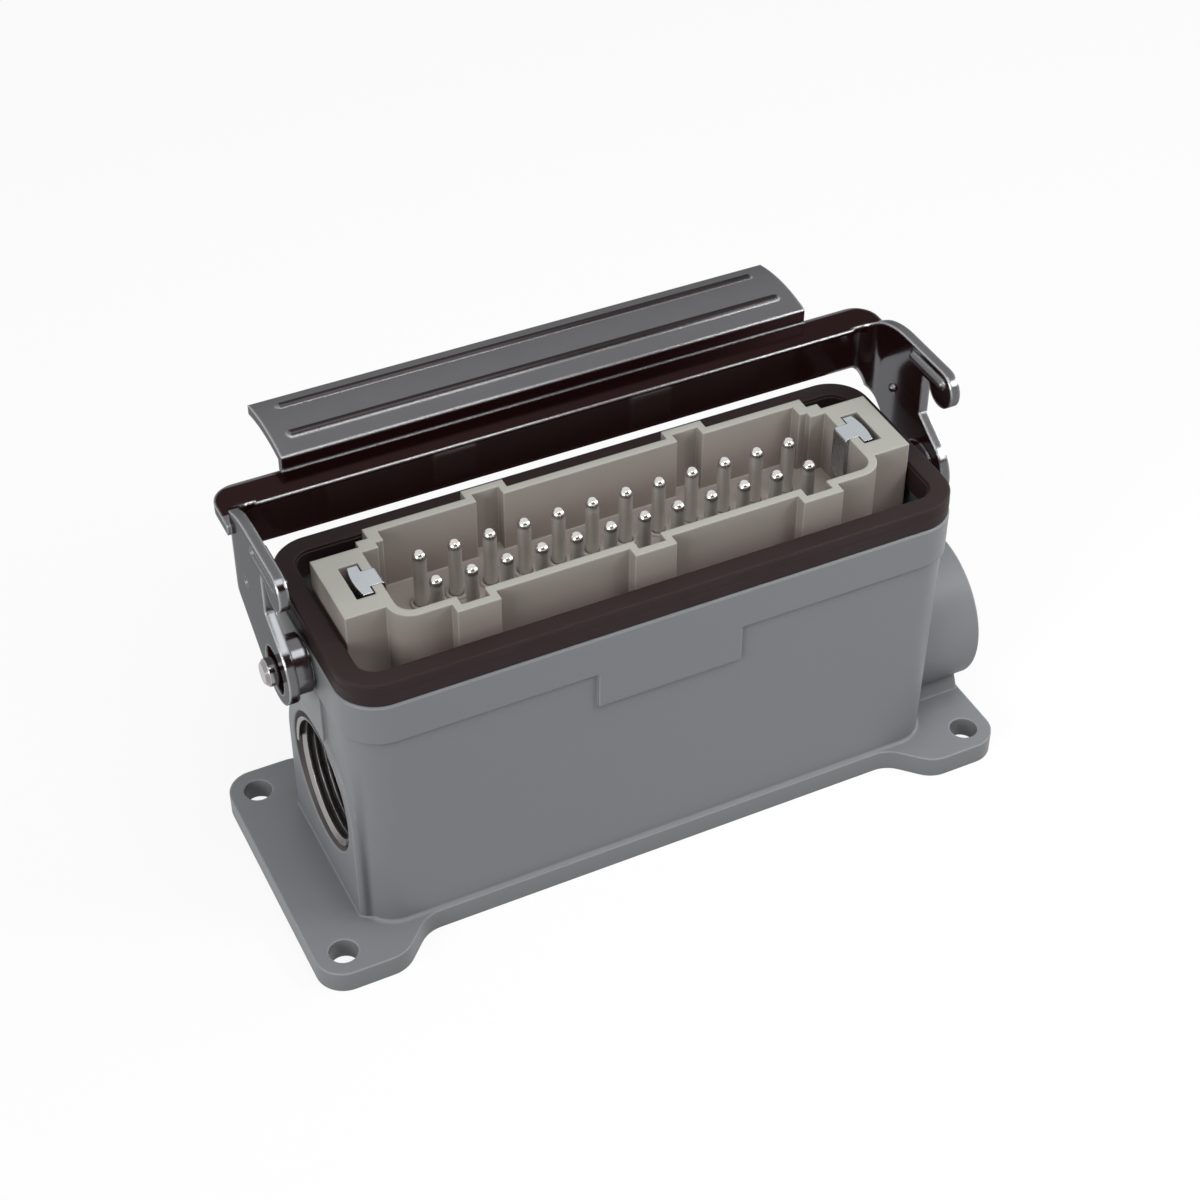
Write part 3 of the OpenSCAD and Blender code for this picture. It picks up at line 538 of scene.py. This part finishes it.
# %% metals of the lever and the entries
# The shelf tone is painted shade with a painted reflection of the seal; the bead shades are
# painted shade.
SHELF_Y, SHELF_Z, SHELF_SHADE_TONE = (19.8, 26.7), (74.3, 75.5), (0.020, 0.012, 0.0115, 1)
BEAD_SHADES = ((48.2, (40.0, 41.7)), (49.3, (31.2, 32.9)))

pivot_finish = bright_metal(
    "polished_pin", pale=(0.34, 0.33, 0.33, 1), dull=(0.26, 0.25, 0.25, 1), gloss=(0.08, 0.16),
    streaks=(4000, 200, 200), depth=0.05, edge_radius=0.0003)
lever_finish = bright_metal(
    "dark_sheet", pale=(0.150, 0.155, 0.162, 1), dull=(0.128, 0.132, 0.138, 1),
    gloss=(0.10, 0.17), streaks=(60, 2500, 2500), depth=0.04, edge_radius=0.0008,
    edge_highlight=(0.52, 0.53, 0.54, 1), zone=(SHELF_Y, SHELF_Z, SHELF_SHADE_TONE),
    brown_glow=(0.0065, 0.0019, 0.0019, 1), dark_lines=BEAD_SHADES)
thread_finish = bright_metal(
    "cut_thread", pale=(0.37, 0.355, 0.35, 1), dull=(0.26, 0.245, 0.24, 1), gloss=(0.25, 0.42),
    streaks=(400, 400, 400), depth=0.1, edge_radius=0.0001)

# %% [markdown]
# ## Dressing the frame
#
# The shapes of the rigid pieces are right as they are. New meshes could stand in for them,
# but that would only repeat the model, so their objects stay and take the new finishes in
# their material slots. Pieces of one kind share a finish, found by how their names start.

# %% dress the nodes
FINISHES = {
    "housing_base": housing_finish, "rim_seal": seal_finish, "contact_carrier": carrier_finish,
    "contact_pin": contact_finish, "terminal_screws": screw_finish, "fixing_screws": screw_finish,
    "earth_screws": screw_finish, "earth_clip": clip_finish, "pivot_pin": pivot_finish,
    "locking_lever": lever_finish,
}
for name, piece in nodes.items():
    finish = next(f for start, f in FINISHES.items() if name.startswith(start))
    piece.data.materials.clear()
    piece.data.materials.append(finish)
print("dressed", len(nodes), "nodes")

# %% [markdown]
# ## Entry threads
#
# Both cable entries carry a metric thread of 25 mm with a pitch of 1.5 mm. The solid has a
# plain bore at the outer radius with a bevelled mouth, so the thread is a ridge that winds
# round the inside: a triangle carried along a helix. The Screw modifier could wind it too,
# but it keeps one section all the way. With points worked out in a loop, the first crest
# stands at the mouth with the bevel as a groove round it, and the last one fades into the
# wall.


# %% pieces from points
def mesh_piece(name, mesh_maker, finish, body="base"):
    """A new piece from a function that fills a bmesh, riding on a body."""
    shape = bmesh.new()
    mesh_maker(shape)
    bmesh.ops.recalc_face_normals(shape, faces=shape.faces)
    data = bpy.data.meshes.new(name)
    shape.to_mesh(data)
    shape.free()
    data.materials.append(finish)
    piece = bpy.data.objects.new(name, data)
    bpy.context.scene.collection.objects.link(piece)
    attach(piece, body)
    print("piece:", name, len(data.vertices), "points")


def join_rings(shape, rings, closed):
    """Faces from each ring of points to the next, and from the last to the first if closed."""
    followers = rings[1:] + (rings[:1] if closed else [])
    for first, second in zip(rings, followers):
        for i in range(len(first)):
            j = (i + 1) % len(first)
            shape.faces.new((first[i], first[j], second[j], second[i]))


print("helpers for meshes ready")

# %% thread ridge
THREAD_PITCH, THREAD_OUTER, THREAD_DEPTH, MOUTH_BEVEL = 1.5, 12.62, 1.0, 1.2
THREAD_STEPS, FADE_STEPS = 72, 18
FIRST_CREST, CREST_HALF, RIDGE_HALF = 0.2, 0.1, 0.68
MOUTH_GAP, TIP_GAP, FIRST_FACE_DROP = 0.04, 0.1, 0.6


def thread_ridge(mouth, inward, length, height):
    """Maker of a helical ridge from a mouth inward along X, round an axis at a height."""
    count = int((length - THREAD_PITCH) / THREAD_PITCH * THREAD_STEPS)

    def make(shape):
        rings = []
        for step in range(count + 1):
            angle = 2 * math.pi * step / THREAD_STEPS * inward
            middle = THREAD_PITCH * (FIRST_CREST + step / THREAD_STEPS)
            tip = THREAD_OUTER - TIP_GAP - THREAD_DEPTH * min(1, (count - step) / FADE_STEPS)
            front, rear = max(MOUTH_GAP, middle - RIDGE_HALF), middle + RIDGE_HALF
            root = THREAD_OUTER + max(0, MOUTH_BEVEL - rear)
            face = THREAD_OUTER - FIRST_FACE_DROP * max(0, 1 - middle / MOUTH_BEVEL)
            profile = ((front, face), (middle - CREST_HALF, tip),
                       (middle + CREST_HALF, tip), (rear, root))
            rings.append([shape.verts.new(Vector((
                mouth + inward * depth, r * math.cos(angle), height + r * math.sin(angle))) * MM)
                for depth, r in profile])
        join_rings(shape, rings, closed=False)
        shape.faces.new(rings[0])
        shape.faces.new(rings[-1])

    return make


print("thread: pitch", THREAD_PITCH, "mm, outer radius", THREAD_OUTER, "mm")

# %% entry threads
LEFT_MOUTH, LEFT_THREAD = -60.15, 7.6
RIGHT_MOUTH, RIGHT_THREAD = 72.0, 15.0

mesh_piece("entry_thread_left", thread_ridge(LEFT_MOUTH, 1, LEFT_THREAD, LEFT_AXIS),
           thread_finish)
mesh_piece("entry_thread_right", thread_ridge(RIGHT_MOUTH, -1, RIGHT_THREAD, RIGHT_AXIS),
           thread_finish)

# %% [markdown]
# ## Seal crown
#
# The seal's top is flat with a crisp outer edge, and stands a little higher than its simple
# solid. A curve with a bevel object could make it, but its corners are harder to hold exactly.
# The crown is one section carried round the rim: straight along the sides and on a quarter
# circle round each corner's centre.

# %% seal crown
CORNER_X, CORNER_Y, CORNER_STEPS = 52.5, 13.6, 16
CORNER_SIDES = ((1, 1), (-1, 1), (-1, -1), (1, -1))
CROWN_SECTION = ((3.9, 63.3), (3.9, 64.0), (4.1, 64.15), (7.45, 64.15), (7.75, 63.8),
                 (7.75, 61.6), (7.2, 61.6))


def crown_ring(shape):
    """Section of the crown carried round the rim."""
    rings = []
    for quarter, (sx, sy) in enumerate(CORNER_SIDES):
        for step in range(CORNER_STEPS + 1):
            angle = (quarter + step / CORNER_STEPS) * math.pi / 2
            rings.append([shape.verts.new(Vector((
                sx * CORNER_X + d * math.cos(angle), sy * CORNER_Y + d * math.sin(angle), z)) * MM)
                for d, z in CROWN_SECTION])
    join_rings(shape, rings, closed=True)


mesh_piece("seal_crown", crown_ring, seal_finish)

# %% [markdown]
# ## Contact seats
#
# Each contact leaves the floor of the collar through a low moulded ring. An Array modifier
# could set the rings out, but the spacing would then be written twice. So the rings are one
# piece that takes its places from the contacts of the frame.

# %% contact seats
SEAT_PROFILE = ((1.4, 56.1), (1.4, 56.5), (1.9, 56.6), (2.3, 56.1))
SEAT_STEPS = 28


def seat_rings(shape):
    """A low ring round the foot of each contact."""
    for name, piece in nodes.items():
        if not name.startswith("contact_pin"):
            continue
        box = [Vector(corner) for corner in piece.bound_box]
        middle = sum(box, Vector()) / len(box) / MM
        rings = []
        for step in range(SEAT_STEPS):
            angle = 2 * math.pi * step / SEAT_STEPS
            rings.append([shape.verts.new(Vector((
                middle.x + r * math.cos(angle), middle.y + r * math.sin(angle), z)) * MM)
                for r, z in SEAT_PROFILE])
        join_rings(shape, rings, closed=True)


mesh_piece("contact_seats", seat_rings, carrier_finish)

# %% [markdown]
# ## Floor, backdrop and light
#
# The picture has a white ground. More light would make the floor white too, but it would
# bleach the object. So the world answers the camera and mirror rays with plain white, and the
# floor answers them with a mix: mostly the same white, so that metal shows that ground too,
# and a share of lit pale paper, which keeps the soft shadow. To all other rays the paper is
# darker, which keeps its light off the low parts. The light that falls on the object is
# softer: an even sky, two broad lamps, a small one near the right hand foot and a low one at
# the right end that draws the edges there. A dark card behind the camera glows faintly brown
# and gives the metal something dark to mirror: a painted reflection that only mirror rays see.

# %% white ground
WHITE, SKY_LEVEL = (1, 1, 1, 1), 0.26


def seen_directly(tree):
    """Socket that is 1 for rays of the camera, of mirrors and through glass."""
    rays = tree.nodes.new("ShaderNodeLightPath").outputs
    mirrored = work_out(tree, "MAXIMUM", rays["Is Camera Ray"], rays["Is Glossy Ray"])
    return work_out(tree, "MAXIMUM", mirrored, rays["Is Transmission Ray"])


def either(tree, factor, first, second, output):
    """Feeds an output with one shader, or with the other where the factor is 1."""
    mix = tree.nodes.new("ShaderNodeMixShader")
    feed(tree, mix.inputs[0], factor)
    feed(tree, mix.inputs[1], first.outputs[0])
    feed(tree, mix.inputs[2], second.outputs[0])
    feed(tree, tree.nodes[output].inputs["Surface"], mix.outputs[0])


world = bpy.data.worlds.new("white_room")
world.use_nodes = True
room = world.node_tree
sky = room.nodes["Background"]
sky.inputs["Color"].default_value = WHITE
sky.inputs["Strength"].default_value = SKY_LEVEL
ground_white = place(room, "ShaderNodeBackground", Color=WHITE, Strength=1.0)
either(room, seen_directly(room), sky, ground_white, "World Output")
bpy.context.scene.world = world
print("world:", world.name, "with a sky of", SKY_LEVEL)

# %% floor
FLOOR_HALF, FLOOR_DROP = 3.0, 0.00005
FLOOR_CORNERS = ((-1, -1), (1, -1), (1, 1), (-1, 1))
PAPER_DARK, PAPER_PALE = (0.42, 0.42, 0.42, 1), (0.9, 0.9, 0.9, 1)
WHITE_SHARE = 0.86

paper, paper_tree, paper_skin = start_finish("white_paper")
paper_seen = seen_directly(paper_tree)
feed(paper_tree, paper_skin.inputs["Base Color"],
     blend_colours(paper_tree, paper_seen, PAPER_DARK, PAPER_PALE))
paper_skin.inputs["Roughness"].default_value = 0.9
paper_skin.inputs["Specular IOR Level"].default_value = 0.0
shine = place(paper_tree, "ShaderNodeEmission", Color=WHITE, Strength=1.0)
either(paper_tree, scaled(paper_tree, paper_seen, WHITE_SHARE), paper_skin, shine,
       "Material Output")

floor_mesh = bpy.data.meshes.new("floor")
floor_mesh.from_pydata([(x * FLOOR_HALF, y * FLOOR_HALF, -FLOOR_DROP) for x, y in FLOOR_CORNERS],
                       [], [tuple(range(len(FLOOR_CORNERS)))])
floor_mesh.materials.append(paper)
floor = bpy.data.objects.new("floor", floor_mesh)
bpy.context.scene.collection.objects.link(floor)
print("floor:", FLOOR_HALF * 2, "m square")

# %% dark card
CARD_CORNERS = ((-0.55, -0.70, 0.42), (0.85, -0.70, 0.42),
                (0.85, -0.42, 0.86), (-0.55, -0.42, 0.86))
# The card's faint brown glow is a painted reflection for the metal.
BLACK, CARD_GLOW = (0, 0, 0, 1), (0.072, 0.036, 0.035, 1)

card_glow, _, card_glow_skin = start_finish("dark_card")
card_glow_skin.inputs["Base Color"].default_value = BLACK
card_glow_skin.inputs["Specular IOR Level"].default_value = 0.0
# Painted reflection: the card glows faintly brown.
card_glow_skin.inputs["Emission Color"].default_value = CARD_GLOW
card_glow_skin.inputs["Emission Strength"].default_value = 1.0
card_mesh = bpy.data.meshes.new("dark_card")
card_mesh.from_pydata(CARD_CORNERS, [], [tuple(range(len(CARD_CORNERS)))])
card_mesh.materials.append(card_glow)
card = bpy.data.objects.new("dark_card", card_mesh)
card.visible_camera = card.visible_diffuse = False
card.visible_shadow = card.visible_transmission = False
bpy.context.scene.collection.objects.link(card)
print("card:", card.name, "seen by mirror rays only")

# %% lamps
LAMP_TARGET = Vector((0, 0, 0.04))
LAMPS = {
    "top_lamp": {"at": (0.0, -0.33, 1.0), "size": 0.7, "watts": 5.2},
    "left_lamp": {"at": (-1.05, -0.45, 0.45), "size": 0.6, "watts": 7.6},
    "right_lamp": {"at": (0.22, -0.16, 0.26), "size": 0.12, "watts": 0.4},
    "rim_lamp": {"at": (0.85, 0.0, 0.25), "size": 0.3, "watts": 1.8},
}
for name, values in LAMPS.items():
    lamp = bpy.data.lights.new(name, "AREA")
    lamp.size = values["size"]
    lamp.energy = values["watts"]
    stand = bpy.data.objects.new(name, lamp)
    stand.location = values["at"]
    aim = LAMP_TARGET - Vector(values["at"])
    stand.rotation_euler = aim.to_track_quat("-Z", "Y").to_euler()
    bpy.context.scene.collection.objects.link(stand)
    print("lamp:", name, values["watts"], "W")

# %% [markdown]
# ## Finish
#
# The colour view stays plain, so that a colour renders as it is written.

# %% finish
bpy.context.scene.view_settings.view_transform = "Standard"
bpy.context.view_layer.update()
